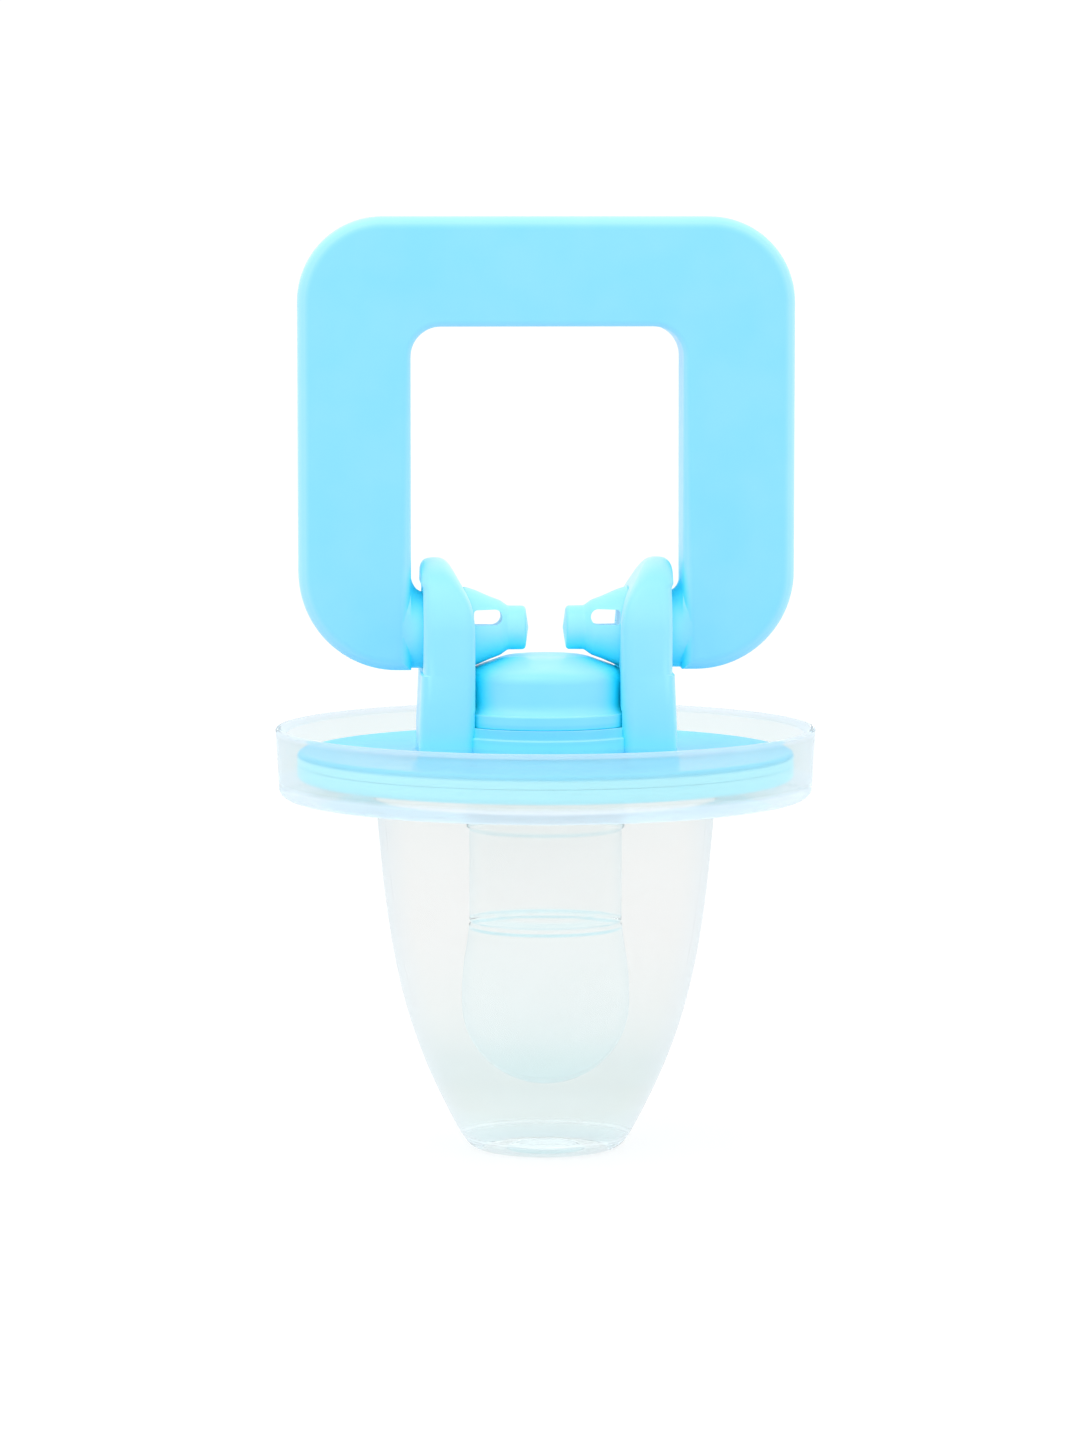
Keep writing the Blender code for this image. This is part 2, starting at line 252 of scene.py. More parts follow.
def finish_mesh(name, bm):
    """Turn a bmesh into a smooth-shaded object in metres."""
    bmesh.ops.remove_doubles(bm, verts=bm.verts, dist=0.0005)
    bmesh.ops.recalc_face_normals(bm, faces=bm.faces)
    bmesh.ops.scale(bm, vec=(MM, MM, MM), verts=bm.verts)
    mesh = bpy.data.meshes.new(name)
    bm.to_mesh(mesh)
    bm.free()
    mesh.shade_smooth()
    mesh.set_sharp_from_angle(angle=radians(SHARP_ANGLE))
    obj = bpy.data.objects.new(name, mesh)
    bpy.context.scene.collection.objects.link(obj)
    return obj


def bridge(bm, rings, closed=False):
    """Join rings of vertices with faces; a ring of one vertex is a tip."""
    pairs = list(zip(rings, rings[1:]))
    if closed:
        pairs.append((rings[-1], rings[0]))
    for low, high in pairs:
        count = max(len(low), len(high))
        for i in range(count):
            j = (i + 1) % count
            if len(low) == 1:
                bm.faces.new((low[0], high[j], high[i]))
            elif len(high) == 1:
                bm.faces.new((low[i], low[j], high[0]))
            else:
                bm.faces.new((low[i], low[j], high[j], high[i]))


def turned(name, profile, closed=False, segments=TURN_SEGMENTS, along_x=0):
    """Turn a profile of (radius, height) points about Z, or about X with heights along +X or -X."""
    bm = bmesh.new()
    rings = []
    for radius, height in profile:
        count = 1 if radius < 0.0001 else segments
        ring = []
        for i in range(count):
            a = 2 * pi * i / segments
            point = Vector((radius * cos(a), radius * sin(a), height))
            if along_x:
                point = Vector((along_x * height, radius * cos(a), radius * sin(a)))
            ring.append(bm.verts.new(point))
        rings.append(ring)
    bridge(bm, rings, closed)
    return finish_mesh(name, bm)


def lofted(name, sections):
    """Skin a stack of closed sections, each a list of points, and cap both ends."""
    bm = bmesh.new()
    rings = [[bm.verts.new(point) for point in section] for section in sections]
    bridge(bm, rings)
    for ring in (rings[0], rings[-1]):
        bm.faces.new(ring)
    return finish_mesh(name, bm)


def combine(obj, tool, operation):
    """Boolean with the exact solver, applied at once; the tool is used up."""
    modifier = obj.modifiers.new(operation, "BOOLEAN")
    modifier.operation = operation
    modifier.solver = "EXACT"
    modifier.object = tool
    bpy.context.view_layer.update()
    graph = bpy.context.evaluated_depsgraph_get()
    mesh = bpy.data.meshes.new_from_object(obj.evaluated_get(graph))
    obj.modifiers.clear()
    old = obj.data
    obj.data = mesh
    mesh.name = obj.name
    bpy.data.meshes.remove(old)
    bpy.data.objects.remove(tool, do_unlink=True)
    mesh.shade_smooth()
    mesh.set_sharp_from_angle(angle=radians(SHARP_ANGLE))


def raise_to(obj, z):
    """Move a mesh up by z millimetres."""
    obj.data.transform(Matrix.Translation((0.0, 0.0, z * MM)))
    return obj


# ---------------------------------------------------------------- pieces

def make_cap():
    """Clear cap: turned foot and body, flange floor and upstanding rim."""
    outer = bezier(BODY_TOP, BODY_BEND[0], BODY_BEND[1], BODY_LOW, 28)
    inner = [(r - CAP_WALL, z) for r, z in outer[1:-3]]
    floor_z = FLANGE_Z + FLANGE_T
    inside = [(0.0, FLOOR_T), (FLOOR_R - 0.3, FLOOR_T)]
    inside += bezier((FLOOR_R, FLOOR_T), FLOOR_BEND[0], FLOOR_BEND[1], inner[-1], 10)[:-1]
    inside += list(reversed(inner))
    inside += soften([
        inner[0],
        (BODY_TOP[0] - CAP_WALL, floor_z, 0.5),
        (RIM_LOW_R - RIM_WALL + 0.1, floor_z, 0.7),
        (RIM_R - RIM_WALL - 0.02, RIM_Z - 0.5, 0.15),
        (RIM_R - 0.5, RIM_Z, 0.12),
        (RIM_R, RIM_Z, 0.2),
        (RIM_LOW_R, FLANGE_Z, 0.9),
        (BODY_TOP[0], FLANGE_Z, 0.35),
        outer[1],
    ])[1:-1]
    outside = outer[1:]
    foot = bezier(BODY_LOW, FOOT_BEND[0], FOOT_BEND[1], (FOOT_R, 0.0), 8)[1:]
    foot += soften([
        (FOOT_R, 0.0),
        (FOOT_RECESS_R + 0.3, 0.0, 0.2),
        (FOOT_RECESS_R, FOOT_RECESS_H, 0.2),
        (0.0, FOOT_RECESS_H),
    ])[1:]
    return turned("cap_shell", inside + outside + foot, segments=2 * TURN_SEGMENTS)


def make_guard_plate():
    """Lower shell of the shield."""
    seam = SEAM_Z - SEAM_GAP / 2
    profile = soften([
        (SHIELD_R, seam, 0.06),
        (SHIELD_R, SHIELD_LOW_Z, SHIELD_EDGE),
        (ROOT_R + 0.3, SHIELD_LOW_Z, 0.15),
        (ROOT_R + 0.3, CLAMP_FLOOR_Z),
        (CLAMP_R, CLAMP_FLOOR_Z),
        (CLAMP_R, seam),
    ], closed=True)
    return turned("shield_back_shell", profile, closed=True)


def ear_section(side, z):
    """One level of an ear: a rounded rectangle between its inner and outer faces."""
    climb = max(0.0, z - HINGE_Z) / (EAR_TOP_Z - HINGE_Z)
    depth = EAR_HALF_DEPTH * sqrt(max(0.0, 1.0 - climb * climb))
    low_x = level_of(EAR_INNER_EDGE, z)
    high_x = level_of(EAR_OUTER_EDGE, z)
    above_foot = z - SHIELD_TOP_Z + SHIELD_DISH
    foot = min(1.0, max(0.0, 1.0 - above_foot / EAR_FOOT_FLARE))
    flare = EAR_FOOT_FLARE * (1.0 - sqrt(1.0 - foot * foot))
    corner = max(0.02, min(EAR_CORNER, 0.46 * (high_x - low_x), 0.46 * 2 * depth))
    low_x -= flare
    high_x += flare
    depth += flare
    outline = []
    for centre, start in (
        ((high_x - corner, depth - corner), 0),
        ((low_x + corner, depth - corner), 90),
        ((low_x + corner, -depth + corner), 180),
        ((high_x - corner, -depth + corner), 270),
    ):
        outline += arc(centre, corner, start, start + 90, 8)
    return [Vector((side * x, y, z)) for x, y in outline]


def level_of(edge, z):
    """X of an edge curve at height z."""
    if z <= edge[0][1]:
        return edge[0][0]
    for (x0, z0), (x1, z1) in zip(edge, edge[1:]):
        if z <= z1:
            return x0 + (x1 - x0) * (z - z0) / max(0.0001, z1 - z0)
    return edge[-1][0]


EAR_CROWN = (9.95, EAR_TOP_Z)
EAR_INNER_EDGE = bezier((EAR_IN, 47.2), (6.6, 49.4), (6.85, 50.15), (7.6, 51.45), 12)
EAR_INNER_EDGE += bezier((7.6, 51.45), (8.65, 53.25), (8.9, EAR_TOP_Z - 0.02), EAR_CROWN, 16)[1:]
EAR_OUTER_EDGE = [
    (EAR_FOOT_OUT, 39.0),
    (EAR_FOOT_OUT - 0.2, 43.64),
    (EAR_GROOVE_OUT, 43.74),
    (EAR_GROOVE_OUT, 51.45),
    (EAR_OUT, 51.7),
]
EAR_OUTER_EDGE += bezier((EAR_OUT, 52.7), (EAR_OUT, 53.85), (10.75, EAR_TOP_Z), EAR_CROWN, 16)


def make_ear(side):
    """Loft one ear from inside the shield up to its crown."""
    foot_z = SHIELD_TOP_Z - SHIELD_DISH
    levels = [foot_z - 0.3]
    levels += [foot_z + EAR_FOOT_FLARE * k / 5 for k in range(6)]
    levels += [39.0, 41.0, 43.64, 43.74, 46.0, HINGE_Z]
    span = EAR_TOP_Z - HINGE_Z
    levels += [HINGE_Z + span * sin(pi / 2 * k / 40) for k in range(1, 40)]
    sections = [ear_section(side, z) for z in levels]
    return lofted("ear", sections)


def make_guard_top():
    """Upper shell of the shield, with the socket ring and both ears."""
    profile = soften([
        (0.0, SOCKET_TOP_Z),
        (SOCKET_STEP_R, SOCKET_TOP_Z, 0.05),
        (SOCKET_STEP_R, SOCKET_TOP_Z - 0.85, 0.1),
        (SOCKET_R, SOCKET_TOP_Z - 0.95, 0.1),
        (SOCKET_R, SHIELD_TOP_Z - SHIELD_DISH, 0.35),
        (SHIELD_R - 9.0, SHIELD_TOP_Z - SHIELD_DISH, 30.0),
        (SHIELD_R - 1.0, SHIELD_TOP_Z, 12.0),
        (SHIELD_R, SHIELD_TOP_Z, SHIELD_EDGE),
        (SHIELD_R, SEAM_Z + SEAM_GAP / 2, 0.06),
        (CLAMP_R, SEAM_Z + SEAM_GAP / 2),
        (CLAMP_R, CLAMP_ROOF_Z),
        (0.0, CLAMP_ROOF_Z),
    ])
    guard = turned("shield_front_shell", profile)
    for side in (-1, 1):
        combine(guard, make_ear(side), "UNION")
    relief = [
        (0.0, RELIEF_TOP_Z),
        (6.4, RELIEF_TOP_Z),
        (KNOB_R + KNOB_PLAY, RELIEF_TOP_Z - 0.85),
        (KNOB_R + KNOB_PLAY, COLLAR_Z + 0.7),
        (COLLAR_R + KNOB_PLAY, COLLAR_Z + KNOB_PLAY),
        (COLLAR_R + KNOB_PLAY, SOCKET_TOP_Z - 0.02),
        (SOCKET_BORE_R, SOCKET_TOP_Z - 0.02),
        (SOCKET_BORE_R, SHIELD_TOP_Z),
        (SLEEVE_R + 0.3, SHIELD_TOP_Z),
        (SLEEVE_R + 0.3, CLAMP_ROOF_Z - 1.0),
        (0.0, CLAMP_ROOF_Z - 1.0),
    ]
    combine(guard, turned("relief", relief, segments=CUTTER_SEGMENTS), "DIFFERENCE")
    bore = [(0.0, 15.0), (PIN_R + 0.2, 15.0), (PIN_R + 0.2, -15.0), (0.0, -15.0)]
    cutter = turned("bore", bore, segments=PIN_SEGMENTS, along_x=1)
    combine(guard, raise_to(cutter, HINGE_Z), "DIFFERENCE")
    pocket = [(0.0, 14.0), (POCKET_R, 14.0), (POCKET_R, POCKET_X), (0.0, POCKET_X)]
    recess = [(0.0, RECESS_X), (RECESS_R, RECESS_X), (RECESS_R, 5.0), (0.0, 5.0)]
    for side in (-1, 1):
        for outline in (pocket, recess):
            cutter = turned("pocket", outline, segments=CUTTER_SEGMENTS, along_x=side)
            combine(guard, raise_to(cutter, HINGE_Z), "DIFFERENCE")
    return guard


def make_teat():
    """Soft teat: clamped flange, root, neck with its moulded step ring and a thick round end."""
    flange_low = CLAMP_FLOOR_Z + 0.3
    profile = arc((0.0, HOLLOW_Z), HOLLOW_R, -90, 0, 24)
    profile += bezier((HOLLOW_R, HOLLOW_Z), (HOLLOW_R, 17.0), (NECK_BORE_R, 18.5),
                      (NECK_BORE_R, STEP_Z), 6)[1:]
    profile += soften([
        (NECK_BORE_R, STEP_Z),
        (NECK_BORE_R, TEAT_HIGH.z),
        (TEAT_HIGH.x, TEAT_HIGH.z, 0.15),
        (TEAT_HIGH.x, flange_low, 0.15),
        (ROOT_R, flange_low, 0.1),
        (ROOT_R, ROOT_Z, 0.12),
        (NECK_R, ROOT_Z - 0.22, 0.1),
        (NECK_R, STEP_Z + 0.28, 0.06),
        (NECK_R - 0.2, STEP_Z + 0.1, 0.08),
        (NECK_R + 0.04, STEP_Z - 0.12, 0.1),
        (STEP_R, STEP_Z - 0.8),
    ])[1:]
    profile += bezier((STEP_R, STEP_Z - 0.8), (STEP_R + 0.25, STEP_Z - 3.0), (BULB_R, BULB_Z + 3.4),
                      (BULB_R, BULB_Z), 14)[1:]
    profile += arc((0.0, BULB_Z), BULB_R, 0, -90, 28)[1:]
    return turned("silicone_teat", profile)


def make_sleeve():
    """Clear sleeve in the neck, with a flange under the knob and an inward lip at its end."""
    flange_low = SLEEVE_HIGH.z - 0.8
    profile = soften([
        (SLEEVE_HIGH.x, SLEEVE_HIGH.z, 0.12),
        (SLEEVE_HIGH.x, flange_low, 0.12),
        (SLEEVE_R, flange_low, 0.1),
        (SLEEVE_R, SLEEVE_LOW.z, 0.15),
        (LIP_R, SLEEVE_LOW.z, 0.15),
        (LIP_R, SLEEVE_LOW.z + LIP_T, 0.15),
        (SLEEVE_BORE_R, SLEEVE_LOW.z + LIP_T, 0.2),
        (SLEEVE_BORE_R, SLEEVE_HIGH.z, 0.12),
    ], closed=True)
    return turned("neck_sleeve_tube", profile, closed=True)


def make_knob():
    """Knob: flat top, rounded shoulder, wall, flared foot and hollow spigot."""
    profile = [(0.0, KNOB_HIGH.z)]
    profile += bezier((KNOB_FLAT_R - 0.5, KNOB_HIGH.z), (3.6, KNOB_HIGH.z), (4.0, 44.95),
                      KNOB_SHOULDER, 6)
    profile += bezier(KNOB_SHOULDER, (6.0, 44.2), (KNOB_R, 44.0), (KNOB_R, 42.9), 12)[1:]
    profile += bezier((KNOB_R, 41.3), (KNOB_R, 40.6), (7.5, 40.35), (COLLAR_R - 0.25, COLLAR_Z), 8)
    profile += soften([
        (COLLAR_R - 0.3, COLLAR_Z),
        (COLLAR_R, COLLAR_Z, 0.12),
        (COLLAR_R, SOCKET_TOP_Z + 0.01, 0.05),
        (SOCKET_BORE_R - 0.3, SOCKET_TOP_Z + 0.01, 0.05),
        (SOCKET_BORE_R - 0.3, KNOB_LOW.z, 0.15),
        (KNOB_HOLLOW_R, KNOB_LOW.z, 0.15),
        (KNOB_HOLLOW_R, 42.3, 0.5),
        (3.0, KNOB_HOLLOW_TOP_Z, 0.5),
        (0.0, KNOB_HOLLOW_TOP_Z),
    ])[1:]
    return turned("push_knob", profile)


def ring_outline():
    """Outline of the square ring with the edge rounding that each point gets."""
    low, top, hole = LOW_CORNER, TOP_CORNER, OPENING_CORNER
    right = [(OPENING_HALF_W, RING_LOW_Z)]
    right += arc((RING_HALF_W - low, RING_LOW_Z + low), low, -90, 0, 24)
    right += arc((RING_HALF_W - top, RING_TOP_Z - top), top, 0, 90, 24)
    inside = arc((OPENING_HALF_W - hole, OPENING_TOP_Z - hole), hole, 90, 0, 14)
    left = [(-x, z) for x, z in reversed(right)]
    left_inside = [(-x, z) for x, z in reversed(inside)]
    outer = [(p, OUTER_EDGE) for p in right + left]
    inner = [(p, INNER_EDGE) for p in left_inside + inside]
    return outer + inner


def spread(outline, longest=1.5):
    """Add points along the long straight stretches of an outline."""
    points = []
    for i, (here, edge) in enumerate(outline):
        ahead, next_edge = outline[(i + 1) % len(outline)]
        length = (Vector(ahead) - Vector(here)).length
        steps = max(1, round(length / longest))
        for k in range(steps):
            t = k / steps
            point = Vector(here).lerp(Vector(ahead), t)
            points.append((point, edge + (next_edge - edge) * t))
    return points


def make_ring():
    """Flat square ring with rolled edges, a round shoulder and a slotted snap pin on each foot."""
    outline = spread(ring_outline())
    count = len(outline)
    inward = []
    for i in range(count):
        back = (outline[i][0] - outline[i - 1][0]).normalized()
        ahead = (outline[(i + 1) % count][0] - outline[i][0]).normalized()
        along = (back + ahead).normalized()
        stretch = 1.0 / max(0.6, along.dot(ahead))
        inward.append(Vector((-along.y, along.x)) * stretch)
    layers = []
    steps = 8
    for k in range(steps + 1):
        a = pi / 2 * k / steps
        layers.append((1.0 - sin(a), 1.0 - cos(a)))
    sections = []
    for face, order in ((-1, layers), (1, list(reversed(layers)))):
        for inset, drop in order:
            section = []
            for (point, edge), normal in zip(outline, inward):
                p = point + normal * edge * inset
                section.append(Vector((p.x, face * (RING_HALF_T - edge * drop), p.y)))
            sections.append(section)
    ring = lofted("square_ring", sections)
    for side in (-1, 1):
        combine(ring, make_shoulder(side), "UNION")
        combine(ring, make_pin(side), "UNION")
        combine(ring, make_slot(side), "DIFFERENCE")
    return ring


def make_shoulder(side):
    """Round end of a foot that turns against its ear, with a fillet up the inside of the arm."""
    sections = []
    for x, crown in SHOULDER_CROWNS:
        inset = 0.1 if x == SHOULDER_END_X else 0.0
        section = []
        for i in range(48):
            a = 2 * pi * i / 48
            half_z = crown if sin(a) > 0 else SHOULDER_LOW_R
            section.append(Vector((side * x, (SHOULDER_R - inset) * cos(a),
                                   HINGE_Z + (half_z - inset) * sin(a))))
        sections.append(section)
    return lofted("shoulder", sections)


def make_pin(side):
    """Snap pin: shaft, tapered head and a short blunt tip."""
    profile = [(0.0, PIN_ROOT_X), (PIN_R, PIN_ROOT_X)]
    profile += soften([
        (PIN_R, PIN_ROOT_X),
        (PIN_R, PIN_HEAD_X, 0.1),
        (PIN_HEAD_R, PIN_HEAD_X, 0.15),
        (3.5, 6.55, 8.0),
        (2.85, 5.1, 6.0),
        (2.5, 4.15, 1.2),
        (PIN_TIP_R + 0.02, 3.45, 0.4),
        (PIN_TIP_R, PIN_TIP_X + 0.3, 0.35),
        (0.0, PIN_TIP_X),
    ])[1:]
    return raise_to(turned("pin", profile, segments=PIN_SEGMENTS, along_x=side), HINGE_Z)


def make_slot(side):
    """Cutter for the through slot that lets a pin's head spring; it widens downwards to the back."""
    sections = []
    for y, drop in ((-5.0, 0.0), (5.0, SLOT_DRAFT)):
        half = (SLOT_H + drop) / 2
        middle = HINGE_Z + SLOT_RISE - drop / 2
        outline = arc((SLOT_FROM_X + half, middle), half, 90, 270, 16)
        outline += arc((SLOT_TO_X - 0.3, middle - half + 0.3), 0.3, -90, 0, 4)
        outline += arc((SLOT_TO_X - 0.3, middle + half - 0.3), 0.3, 0, 90, 4)
        sections.append([Vector((side * x, y, z)) for x, z in outline])
    return lofted("slot", sections)


# ---------------------------------------------------------------- colours

# Blue plastic, in linear colour.
BLUE_RING = (0.214, 0.635, 0.93, 1.0)
# Painted light: a lighter copy of the ring's blue for the pins.
BLUE_PIN_LIT = (0.30, 0.74, 0.95, 1.0)
# Painted light: a lighter copy of the blue for the ears.
BLUE_EAR_LIT = (0.262, 0.68, 0.94, 1.0)
BLUE_KNOB = (0.235, 0.66, 0.94, 1.0)
# Painted shade: a darker copy of the blue for the socket and the knob's foot.
BLUE_SOCKET_SHADED = (0.185, 0.61, 0.93, 1.0)
# Painted shade: a darker copy of the blue for the shield's top.
BLUE_SHIELD_SHADED = (0.125, 0.615, 0.84, 1.0)
BLUE_BAND = (0.40, 0.87, 0.97, 1.0)
# Painted shade: the deeper, more saturated blue mixed into crevices.
BLUE_PAINTED_SHADE = (0.015, 0.88, 1.0, 1.0)
# Painted highlight: the lighter blue mixed into edges and rolled edges.
BLUE_PAINTED_HIGHLIGHT = (0.68, 0.87, 0.96, 1.0)
WHITE = (1.0, 1.0, 1.0, 1.0)
NO_TINT = (1.0, 1.0, 1.0, 0.0)

# Painted light and surface values: how far painted shade deepens the blue in crevices, how much a painted
# highlight lightens its edges, specular level, roughness.
RING_PAINTED_LIGHT_AND_FINISH = (0.9, 0.3, 0.2, 0.34)
PIN_PAINTED_LIGHT_AND_FINISH = (0.8, 0.05, 0.3, 0.34)
SHELL_PAINTED_LIGHT_AND_FINISH = (0.0, 0.1, 0.1, 0.3)
SHIELD_PAINTED_LIGHT_AND_FINISH = (0.0, 0.05, 0.02, 0.2)
EAR_PAINTED_LIGHT_AND_FINISH = (0.9, 0.5, 0.3, 0.34)
KNOB_PAINTED_LIGHT_AND_FINISH = (1.0, 0.3, 0.3, 0.34)

# Clear materials: the tint seen edge on, index of refraction, range of roughness, and bump.
RIM_EDGE = (0.78, 0.84, 0.87, 1.0)
BODY_EDGE = (0.83, 0.86, 0.88, 1.0)
SLEEVE_EDGE = (0.98, 0.99, 0.99, 1.0)
TEAT_EDGE = (0.88, 0.93, 0.945, 1.0)
CAP_IOR = 1.02
TEAT_IOR = 1.03
PLAIN_IOR = 1.001
CLEAR_ROUGHNESS = (0.01, 0.03)
TEAT_ROUGHNESS = (0.02, 0.05)
CLEAR_BUMP = ((9.0, 0.05, 0.02),)
TEAT_BUMP = ((5.0, 0.06, 0.04),)
BLUE_BUMP = ((6.0, 0.03, 0.25),)
SHADOW_TINT = (0.97, 0.98, 0.98, 1.0)
# Reach of the painted crevice shade on the blue plastic, in mm.
CREVICE_MM = 5.5

# Colours by height; the fourth value is the haze of the clear pieces.
SHELL_STOPS = (
    (SHIELD_LOW_Z, BLUE_BAND),
    (SEAM_Z, BLUE_BAND),
)
KNOB_STOPS = (
    # The knob's foot takes the socket's painted shade.
    (SOCKET_TOP_Z + 0.3, BLUE_SOCKET_SHADED),
    (SOCKET_TOP_Z + 0.5, BLUE_KNOB),
    (KNOB_HIGH.z, BLUE_KNOB),
)
# The shield's top is in a darker painted shade and the ears in a lighter painted lit blue.
GUARD_STOPS = (
    (SEAM_Z, BLUE_BAND),
    (SHIELD_TOP_Z - 0.5, BLUE_BAND),
    (SHIELD_TOP_Z - 0.44, BLUE_SHIELD_SHADED),
    (SHIELD_TOP_Z + 0.1, BLUE_SHIELD_SHADED),
    (SHIELD_TOP_Z + 0.6, BLUE_EAR_LIT),
    (EAR_TOP_Z, BLUE_EAR_LIT),
)
CAP_STOPS = (
    (0.0, (0.745, 0.845, 0.865, 0.20)),
    (1.0, (0.82, 0.89, 0.90, 0.20)),
    (1.15, (0.89, 0.945, 0.95, 0.40)),
    (1.3, (0.89, 0.945, 0.95, 0.40)),
    (1.45, (0.845, 0.90, 0.905, 0.20)),
    (2.4, (0.845, 0.895, 0.90, 0.20)),
    (4.5, (0.81, 0.842, 0.828, 0.20)),
    (7.0, (0.785, 0.835, 0.835, 0.20)),
    (12.0, (0.85, 0.865, 0.86, 0.20)),
    (20.0, (0.88, 0.875, 0.87, 0.20)),
    (FLANGE_Z - 0.4, (0.90, 0.89, 0.88, 0.20)),
    (FLANGE_Z, (0.825, 0.86, 0.915, 0.60)),
    (FLANGE_Z + FLANGE_T - 0.1, (0.825, 0.86, 0.915, 0.60)),
    (FLANGE_Z + FLANGE_T + 0.3, (0.785, 0.83, 0.825, 0.26)),
    (RIM_Z - 0.5, (0.785, 0.83, 0.825, 0.26)),
    (RIM_Z - 0.4, (0.79, 0.82, 0.84, 0.30)),
    (RIM_Z, (0.79, 0.82, 0.84, 0.30)),
)
TEAT_STOPS = (
    (5.0, (0.83, 0.915, 0.93, 0.10)),
    (7.5, (0.87, 0.935, 0.94, 0.10)),
    (11.0, (0.925, 0.95, 0.955, 0.08)),
    (STEP_Z - 0.45, (0.94, 0.96, 0.96, 0.06)),
    # Painted lines: the darker cyan bands at the step ring and the root stand in for the dark lines that
    # refraction makes at these creases.
    (STEP_Z - 0.4, (0.60, 0.86, 0.92, 0.2)),
    (STEP_Z - 0.25, (0.60, 0.86, 0.92, 0.2)),
    (STEP_Z - 0.15, (0.97, 0.975, 0.975, 0.05)),
    (STEP_Z + 0.1, (0.97, 0.975, 0.975, 0.05)),
    (STEP_Z + 0.2, (0.72, 0.90, 0.94, 0.2)),
    (STEP_Z + 0.3, (0.72, 0.90, 0.94, 0.2)),
    (STEP_Z + 0.4, (0.96, 0.968, 0.968, 0.06)),
    (ROOT_Z - 0.35, (0.965, 0.97, 0.97, 0.06)),
    (ROOT_Z - 0.2, (0.75, 0.91, 0.94, 0.2)),
    (ROOT_Z - 0.05, (0.75, 0.91, 0.94, 0.2)),
    (ROOT_Z + 0.2, (0.96, 0.975, 0.97, 0.06)),
    (TEAT_HIGH.z, (0.96, 0.975, 0.97, 0.06)),
)
INSIDE_STOPS = (
    (0.0, NO_TINT),
    (RIM_Z, NO_TINT),
)
SLEEVE_STOPS = (
    (SLEEVE_LOW.z, (0.80, 0.94, 0.96, 0.1)),
    (SLEEVE_LOW.z + 0.3, (0.80, 0.94, 0.96, 0.1)),
    (SLEEVE_LOW.z + 0.5, (0.985, 0.985, 0.985, 0.0)),
    (SLEEVE_HIGH.z, (0.985, 0.985, 0.985, 0.0)),
)


# ---------------------------------------------------------------- finishes

def new_material(name):
    """A material with a lone Principled shader; returns the material, its tree and the shader."""
    mat = bpy.data.materials.new(name)
    mat.use_nodes = True
    tree = mat.node_tree
    return mat, tree, tree.nodes["Principled BSDF"]


def noise(tree, size_mm, detail=2.0):
    """Noise in object space whose features are about size_mm across."""
    coords = tree.nodes.new("ShaderNodeTexCoord")
    node = tree.nodes.new("ShaderNodeTexNoise")
    node.inputs["Scale"].default_value = 1.0 / (size_mm * MM)
    node.inputs["Detail"].default_value = detail
    tree.links.new(coords.outputs["Object"], node.inputs["Vector"])
    return node.outputs["Fac"]


def map_range(tree, socket, low, high, from_low=0.3, from_high=0.7):
    """Stretch a value to a new range."""
    node = tree.nodes.new("ShaderNodeMapRange")
    tree.links.new(socket, node.inputs["Value"])
    for key, value in (("From Min", from_low), ("From Max", from_high), ("To Min", low), ("To Max", high)):
        node.inputs[key].default_value = value
    return node.outputs["Result"]


def math_node(tree, operation, a, b):
    """One maths step on two values or sockets."""
    node = tree.nodes.new("ShaderNodeMath")
    node.operation = operation
    for socket, value in zip(node.inputs, (a, b)):
        if hasattr(value, "links"):
            tree.links.new(value, socket)
        else:
            socket.default_value = value
    return node.outputs["Value"]


def mix_colour(tree, factor, low, high):
    """Mix two colours or sockets by a factor."""
    node = tree.nodes.new("ShaderNodeMix")
    node.data_type = "RGBA"
    tree.links.new(factor, node.inputs["Factor"])
    for name, value in (("A", low), ("B", high)):
        socket = next(s for s in node.inputs if s.name == name and s.type == "RGBA")
        if hasattr(value, "links"):
            tree.links.new(value, socket)
        else:
            socket.default_value = value
    return next(s for s in node.outputs if s.type == "RGBA")


def add_bump(tree, shader, layers):
    """Chain bumps of (noise size in mm, height in mm, strength)."""
    normal = None
    for size_mm, height_mm, strength in layers:
        bump = tree.nodes.new("ShaderNodeBump")
        bump.inputs["Distance"].default_value = height_mm * MM
        bump.inputs["Strength"].default_value = strength
        tree.links.new(noise(tree, size_mm, 3.0), bump.inputs["Height"])
        if normal:
            tree.links.new(normal, bump.inputs["Normal"])
        normal = bump.outputs["Normal"]
    tree.links.new(normal, shader.inputs["Normal"])


